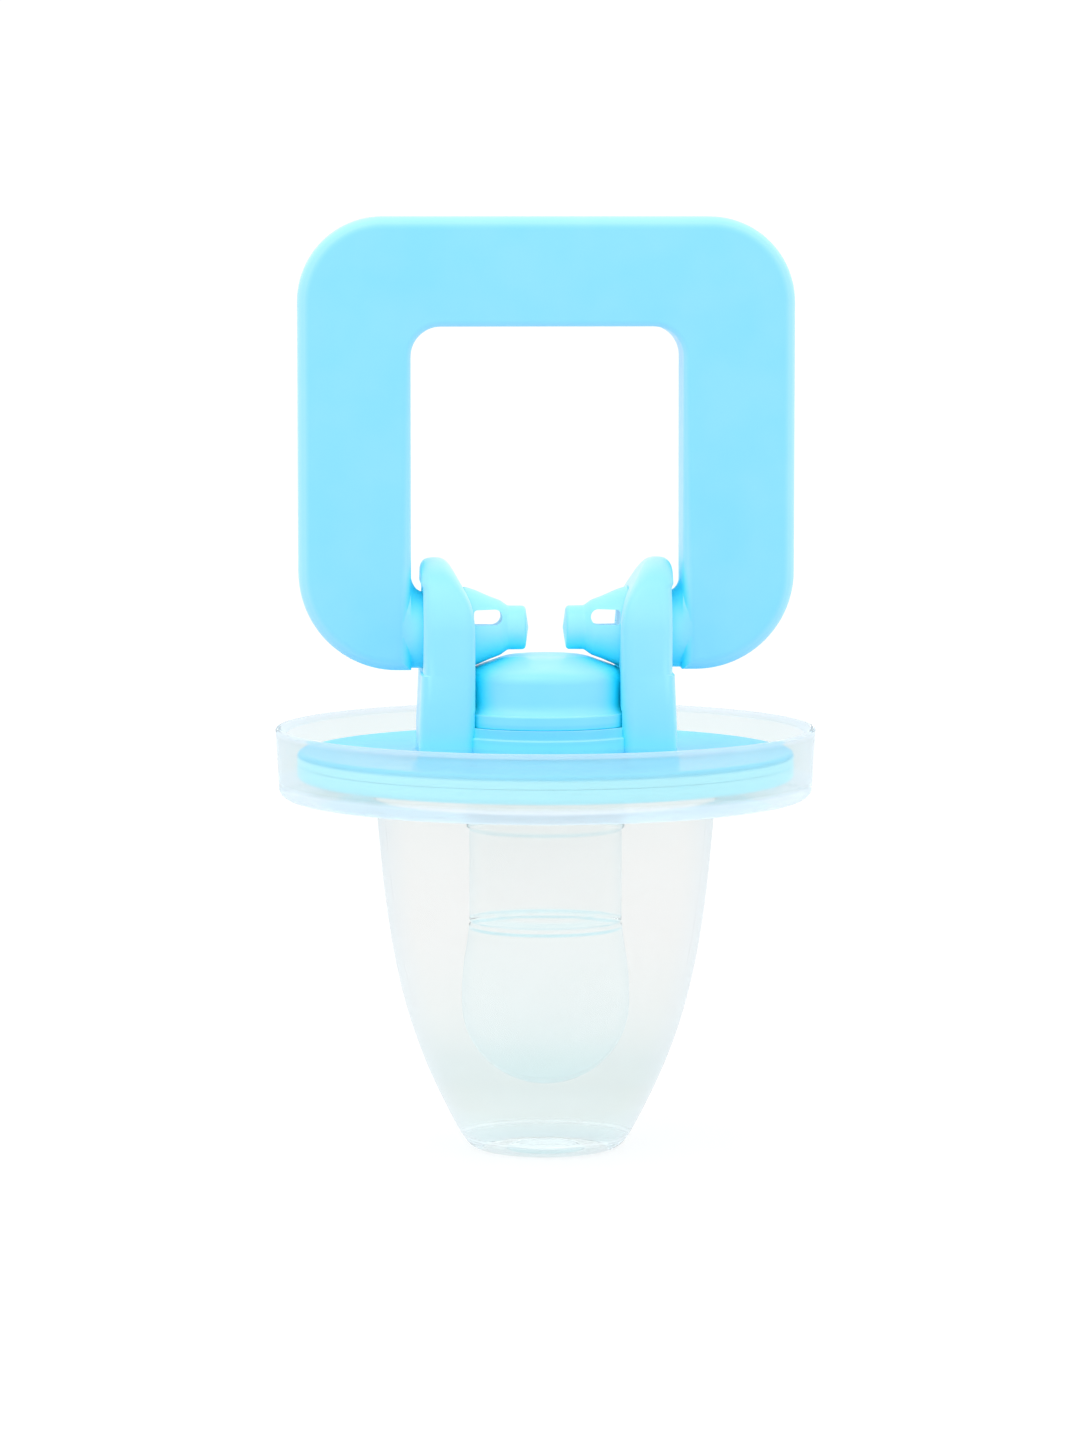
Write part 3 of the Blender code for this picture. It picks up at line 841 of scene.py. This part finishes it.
def blue_plastic(name, tone, painted_light_and_finish, zone_painted_light_and_finish, zone):
    """Light blue moulded plastic with a painted highlight, a lighter blue, where it is seen edge on, and
    painted shade, a deeper blue, in its crevices.

    Where the zone is 1, the second set of painted light and surface values is used.
    """
    mat, tree, shader = new_material(name)
    share = zone(tree)
    painted_shade_amount, painted_highlight_amount, specular, roughness = [map_range(tree, share, a, b, 0.0, 1.0)
                                              for a, b in zip(painted_light_and_finish, zone_painted_light_and_finish)]
    tree.links.new(specular, shader.inputs["Specular IOR Level"])
    mottled = mix_colour(tree, map_range(tree, noise(tree, 5.0), 0.0, 0.03), tone(tree), WHITE)
    # Painted highlight: surfaces seen edge on are mixed toward a lighter blue.
    facing = tree.nodes.new("ShaderNodeLayerWeight")
    facing.inputs["Blend"].default_value = 0.5
    grazing = map_range(tree, facing.outputs["Facing"], 0.0, 1.0, 0.25, 0.9)
    edge = math_node(tree, "MULTIPLY", grazing, painted_highlight_amount)
    with_painted_highlight = mix_colour(tree, edge, mottled, BLUE_PAINTED_HIGHLIGHT)
    # Painted shade: where ambient occlusion finds a crevice, the colour is mixed toward a deeper, more
    # saturated blue.
    shade = tree.nodes.new("ShaderNodeAmbientOcclusion")
    shade.samples = 16
    shade.inputs["Distance"].default_value = CREVICE_MM * MM
    enclosed = map_range(tree, shade.outputs["AO"], 1.0, 0.0, 0.1, 0.8)
    depth = math_node(tree, "MULTIPLY", enclosed, painted_shade_amount)
    tree.links.new(mix_colour(tree, depth, with_painted_highlight, BLUE_PAINTED_SHADE), shader.inputs["Base Color"])
    grain = map_range(tree, noise(tree, 0.8), 0.88, 1.12)
    tree.links.new(math_node(tree, "MULTIPLY", roughness, grain), shader.inputs["Roughness"])
    add_bump(tree, shader, BLUE_BUMP)
    return mat


def ring_tone(tree):
    """The ring's blue, with a painted highlight on its rolled edges and a lighter painted lit tone on the
    pins.
    """
    # Painted highlight: the rolled edges are mixed toward the lighter edge blue, and the pins take a
    # lighter painted lit blue.
    rolled = math_node(tree, "MULTIPLY", beyond(tree, "Y", RING_HALF_T - 1.2, RING_HALF_T - 0.5),
                       beyond(tree, "Y", RING_HALF_T - 0.01, RING_HALF_T - 0.15))
    with_painted_highlight = mix_colour(tree, math_node(tree, "MULTIPLY", rolled, 0.17), BLUE_RING, BLUE_PAINTED_HIGHLIGHT)
    return mix_colour(tree, near_pins(tree), with_painted_highlight, BLUE_PIN_LIT)


def shell_tone(tree):
    """The shield's lower edge."""
    return by_height(tree, SHELL_STOPS)[0]


def guard_tone(tree):
    """The shield's edge, its top in a darker painted shade, the socket in painted shade and the ears in a
    lighter painted lit blue.
    """
    by_level = by_height(tree, GUARD_STOPS)[0]
    high_part = rise(tree, SHIELD_TOP_Z + 1.0, SHIELD_TOP_Z + 1.8)
    socket = math_node(tree, "MULTIPLY", high_part, beyond(tree, "X", 6.6, 6.3))
    return mix_colour(tree, socket, by_level, BLUE_SOCKET_SHADED)


def knob_tone(tree):
    """The knob, in painted shade at its foot beside the socket."""
    return by_height(tree, KNOB_STOPS)[0]


def above_shield(tree):
    """1 on the ears and the socket, 0 on the shield under them."""
    return rise(tree, SHIELD_TOP_Z + 0.1, SHIELD_TOP_Z + 1.0)


def rise(tree, low, high):
    """0 to 1 as the height goes from one value to a higher one, in mm."""
    return map_range(tree, split_axis(tree, "Z"), 0.0, 1.0, low * MM, high * MM)


def beyond(tree, axis, zero, one):
    """0 to 1 as the distance from the middle along an axis goes from one value to another, in mm."""
    distance = math_node(tree, "ABSOLUTE", split_axis(tree, axis), 0.0)
    low, high = min(zero, one), max(zero, one)
    ends = (0.0, 1.0) if one > zero else (1.0, 0.0)
    return map_range(tree, distance, *ends, low * MM, high * MM)


def near_pins(tree):
    """1 on the pins and 0 on the ring."""
    low_part = math_node(tree, "SUBTRACT", 1.0, rise(tree, HINGE_Z + 5.0, HINGE_Z + 6.0))
    return math_node(tree, "MULTIPLY", beyond(tree, "X", 13.2, 11.9), low_part)


def split_axis(tree, axis):
    """One coordinate of the shaded point in its own object."""
    coords = tree.nodes.new("ShaderNodeTexCoord")
    split = tree.nodes.new("ShaderNodeSeparateXYZ")
    tree.links.new(coords.outputs["Object"], split.inputs["Vector"])
    return split.outputs[axis]


def by_height(tree, stops):
    """Colour and alpha that change with height, from stops of (height in mm, (r, g, b, alpha))."""
    top = stops[-1][0]
    ramp = tree.nodes.new("ShaderNodeValToRGB")
    tree.links.new(map_range(tree, split_axis(tree, "Z"), 0.0, 1.0, 0.0, top * MM), ramp.inputs["Fac"])
    elements = ramp.color_ramp.elements
    elements.remove(elements[-1])
    elements[0].position = stops[0][0] / top
    elements[0].color = stops[0][1]
    for height, colour in stops[1:]:
        elements.new(height / top).color = colour
    return ramp.outputs["Color"], ramp.outputs["Alpha"]


def multiply_colour(tree, a, b):
    """Product of two colours."""
    node = tree.nodes.new("ShaderNodeMix")
    node.data_type = "RGBA"
    node.blend_type = "MULTIPLY"
    node.inputs["Factor"].default_value = 1.0
    for name, value in (("A", a), ("B", b)):
        socket = next(s for s in node.inputs if s.name == name and s.type == "RGBA")
        tree.links.new(value, socket)
    return next(s for s in node.outputs if s.type == "RGBA")


def clear_material(name, stops, edge, ior, roughness, bump_layers, both=False):
    """See-through moulded material: tinted and hazed by height, and tinted where it is seen edge on.

    With both set, the outside of a wall carries the tint of its plain inside too.
    """
    mat, tree, shader = new_material(name)
    shader.inputs["Transmission Weight"].default_value = 1.0
    shader.inputs["IOR"].default_value = ior
    tone, haze = by_height(tree, stops)
    mottled = mix_colour(tree, map_range(tree, noise(tree, 4.0), 0.0, 0.05), tone, WHITE)
    facing = tree.nodes.new("ShaderNodeLayerWeight")
    facing.inputs["Blend"].default_value = 0.5
    rimmed = map_range(tree, facing.outputs["Facing"], 0.0, 1.0, 0.45, 0.95)
    tint = mix_colour(tree, rimmed, mottled, edge)
    tree.links.new(multiply_colour(tree, tint, tint) if both else tint, shader.inputs["Base Color"])
    tree.links.new(map_range(tree, noise(tree, 1.5), *roughness), shader.inputs["Roughness"])
    add_bump(tree, shader, bump_layers)
    milk = tree.nodes.new("ShaderNodeMixShader")
    milk.inputs["Fac"].default_value = 0.5
    halves = (("Translucent", milk.inputs[1]), ("Diffuse", milk.inputs[2]))
    for kind, socket in halves:
        half = tree.nodes.new("ShaderNodeBsdf" + kind)
        tree.links.new(tint, half.inputs["Color"])
        tree.links.new(half.outputs["BSDF"], socket)
    cloudy = tree.nodes.new("ShaderNodeMixShader")
    tree.links.new(haze, cloudy.inputs["Fac"])
    tree.links.new(shader.outputs["BSDF"], cloudy.inputs[1])
    tree.links.new(milk.outputs["Shader"], cloudy.inputs[2])
    path = tree.nodes.new("ShaderNodeLightPath")
    through = tree.nodes.new("ShaderNodeBsdfTransparent")
    through.inputs["Color"].default_value = SHADOW_TINT
    mix = tree.nodes.new("ShaderNodeMixShader")
    tree.links.new(path.outputs["Is Shadow Ray"], mix.inputs["Fac"])
    tree.links.new(cloudy.outputs["Shader"], mix.inputs[1])
    tree.links.new(through.outputs["BSDF"], mix.inputs[2])
    tree.links.new(mix.outputs["Shader"], tree.nodes["Material Output"].inputs["Surface"])
    return mat


def mark_inside(piece, top_z):
    """Number the faces of a turned wall 1 outside and 2 inside, and leave 0 above a height."""
    for face in piece.data.polygons:
        centre = face.center / MM
        if centre.z > top_z:
            continue
        radius = centre.xy.length
        outward = face.normal.xy.dot(centre.xy)
        inside = outward < 0.02 * radius and face.normal.z > -0.5 and centre.z > 0.6
        face.material_index = 2 if inside else 1
    return piece


def place(piece, materials, node, body):
    """Finish a piece and put it in its CAD node's place."""
    numbers = [face.material_index for face in piece.data.polygons]
    piece.data.materials.clear()
    for material in materials:
        piece.data.materials.append(material)
    for face, number in zip(piece.data.polygons, numbers):
        face.material_index = number if len(materials) > 1 else 0
    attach(piece, body)
    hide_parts(node)


RING_BLUE = blue_plastic("blue_ring_plastic", ring_tone, RING_PAINTED_LIGHT_AND_FINISH, PIN_PAINTED_LIGHT_AND_FINISH, near_pins)
SHELL_BLUE = blue_plastic("blue_shield_plastic", shell_tone, SHELL_PAINTED_LIGHT_AND_FINISH, SHELL_PAINTED_LIGHT_AND_FINISH, above_shield)
GUARD_BLUE = blue_plastic("blue_ear_plastic", guard_tone, SHIELD_PAINTED_LIGHT_AND_FINISH, EAR_PAINTED_LIGHT_AND_FINISH, above_shield)
KNOB_BLUE = blue_plastic("blue_knob_plastic", knob_tone, KNOB_PAINTED_LIGHT_AND_FINISH, KNOB_PAINTED_LIGHT_AND_FINISH, above_shield)
CLEAR_RIM = clear_material("clear_rim_plastic", CAP_STOPS, RIM_EDGE, CAP_IOR, CLEAR_ROUGHNESS, CLEAR_BUMP)
CLEAR_BODY = clear_material("clear_body_plastic", CAP_STOPS, BODY_EDGE, CAP_IOR, CLEAR_ROUGHNESS,
                            CLEAR_BUMP, both=True)
CLEAR_INSIDE = clear_material("clear_inside", INSIDE_STOPS, WHITE, PLAIN_IOR, CLEAR_ROUGHNESS, CLEAR_BUMP)
SLEEVE = clear_material("clear_sleeve_plastic", SLEEVE_STOPS, SLEEVE_EDGE, PLAIN_IOR, CLEAR_ROUGHNESS,
                        CLEAR_BUMP)
SILICONE = clear_material("clear_silicone", TEAT_STOPS, TEAT_EDGE, TEAT_IOR, TEAT_ROUGHNESS,
                          TEAT_BUMP, both=True)

CAP_MATERIALS = (CLEAR_RIM, CLEAR_BODY, CLEAR_INSIDE)
TEAT_MATERIALS = (SILICONE, SILICONE, CLEAR_INSIDE)

place(mark_inside(make_cap(), RIM_Z - RIM_BAND), CAP_MATERIALS, "cap", "cap")
place(make_guard_plate(), (SHELL_BLUE,), "guard_plate", "soother")
place(make_guard_top(), (GUARD_BLUE,), "guard_top", "soother")
place(mark_inside(make_teat(), TEAT_HIGH.z), TEAT_MATERIALS, "teat", "soother")
place(make_sleeve(), (SLEEVE,), "neck_sleeve", "soother")
place(make_knob(), (KNOB_BLUE,), "knob", "soother")
place(make_ring(), (RING_BLUE,), "ring_handle", "handle")


# ---------------------------------------------------------------- stage

CAMERA_DISTANCE = 0.4818
CAMERA_HEIGHT = 0.0864
CAMERA_TILT = 5.6
CAMERA_AZIMUTH = -3.0
CAMERA_SIDE = -0.0005
LENS_MM = 88.9
SENSOR_MM = 24.0
FLOOR_GLOW = 0.68
WORLD_BASE = 1.02
WORLD_RIGHT = 0.38
WORLD_LEFT = 0.04
WORLD_TOP = 0.3
WORLD_BACK = 0.03
FLOOR_DARK = (0.27, 0.27, 0.27, 1.0)
FLOOR_LIGHT = (0.29, 0.29, 0.29, 1.0)
FLOOR_HALF_MM = 3000.0
BOUNCES = 32
DIFFUSE_BOUNCES = 8


def make_floor():
    """Plain white floor under the object."""
    bm = bmesh.new()
    bmesh.ops.create_grid(bm, x_segments=1, y_segments=1, size=FLOOR_HALF_MM)
    floor = finish_mesh("studio_floor", bm)
    mat, tree, shader = new_material("white_floor")
    tone = mix_colour(tree, map_range(tree, noise(tree, 300.0), 0.0, 1.0), FLOOR_DARK, FLOOR_LIGHT)
    tree.links.new(tone, shader.inputs["Base Color"])
    shader.inputs["Roughness"].default_value = 0.9
    shader.inputs["Specular IOR Level"].default_value = 0.1
    shader.inputs["Emission Color"].default_value = WHITE
    shader.inputs["Emission Strength"].default_value = FLOOR_GLOW
    floor.data.materials.append(mat)


def make_world():
    """White studio surround, brighter from above and from the right."""
    world = bpy.data.worlds.new("white_studio")
    bpy.context.scene.world = world
    world.use_nodes = True
    tree = world.node_tree
    coords = tree.nodes.new("ShaderNodeTexCoord")
    split = tree.nodes.new("ShaderNodeSeparateXYZ")
    tree.links.new(coords.outputs["Generated"], split.inputs["Vector"])
    level = WORLD_BASE
    right = math_node(tree, "MAXIMUM", split.outputs["X"], 0.0)
    left = math_node(tree, "MAXIMUM", math_node(tree, "MULTIPLY", split.outputs["X"], -1.0), 0.0)
    up = math_node(tree, "MAXIMUM", split.outputs["Z"], 0.0)
    back = math_node(tree, "MAXIMUM", split.outputs["Y"], 0.0)
    for value, share in ((right, WORLD_RIGHT), (left, WORLD_LEFT), (up, WORLD_TOP), (back, WORLD_BACK)):
        level = math_node(tree, "ADD", level, math_node(tree, "MULTIPLY", value, share))
    tree.links.new(level, tree.nodes["Background"].inputs["Strength"])
    tree.nodes["Background"].inputs["Color"].default_value = WHITE


def add_softbox(name, position, size, power):
    """Square area lamp that faces the middle of the object."""
    lamp = bpy.data.lights.new(name, "AREA")
    lamp.shape = "SQUARE"
    lamp.size = size
    lamp.energy = power
    obj = bpy.data.objects.new(name, lamp)
    bpy.context.scene.collection.objects.link(obj)
    obj.location = position
    aim = Vector((0.0, 0.0, HINGE_Z * MM)) - obj.location
    obj.rotation_euler = aim.to_track_quat("-Z", "Y").to_euler()


def add_camera():
    """Long lens level with the ring's top, a little to the left of the middle and tilted down."""
    data = bpy.data.cameras.new("camera")
    data.sensor_fit = "VERTICAL"
    data.sensor_height = SENSOR_MM
    data.lens = LENS_MM
    data.clip_end = 20.0
    obj = bpy.data.objects.new("camera", data)
    bpy.context.scene.collection.objects.link(obj)
    azimuth = radians(CAMERA_AZIMUTH)
    away = CAMERA_DISTANCE * cos(azimuth)
    obj.location = (CAMERA_DISTANCE * sin(azimuth) + CAMERA_SIDE, -away, CAMERA_HEIGHT)
    obj.rotation_euler = (radians(90.0 - CAMERA_TILT), 0.0, azimuth)
    bpy.context.scene.camera = obj


make_floor()
make_world()
add_softbox("top_softbox", (-0.25, -0.15, 0.6), 0.5, 1.0)
add_camera()
bpy.context.scene.view_settings.view_transform = "Standard"
light_paths = bpy.context.scene.cycles
light_paths.transparent_max_bounces = BOUNCES
light_paths.glossy_bounces = BOUNCES
light_paths.diffuse_bounces = DIFFUSE_BOUNCES
light_paths.transmission_bounces = BOUNCES
light_paths.max_bounces = BOUNCES
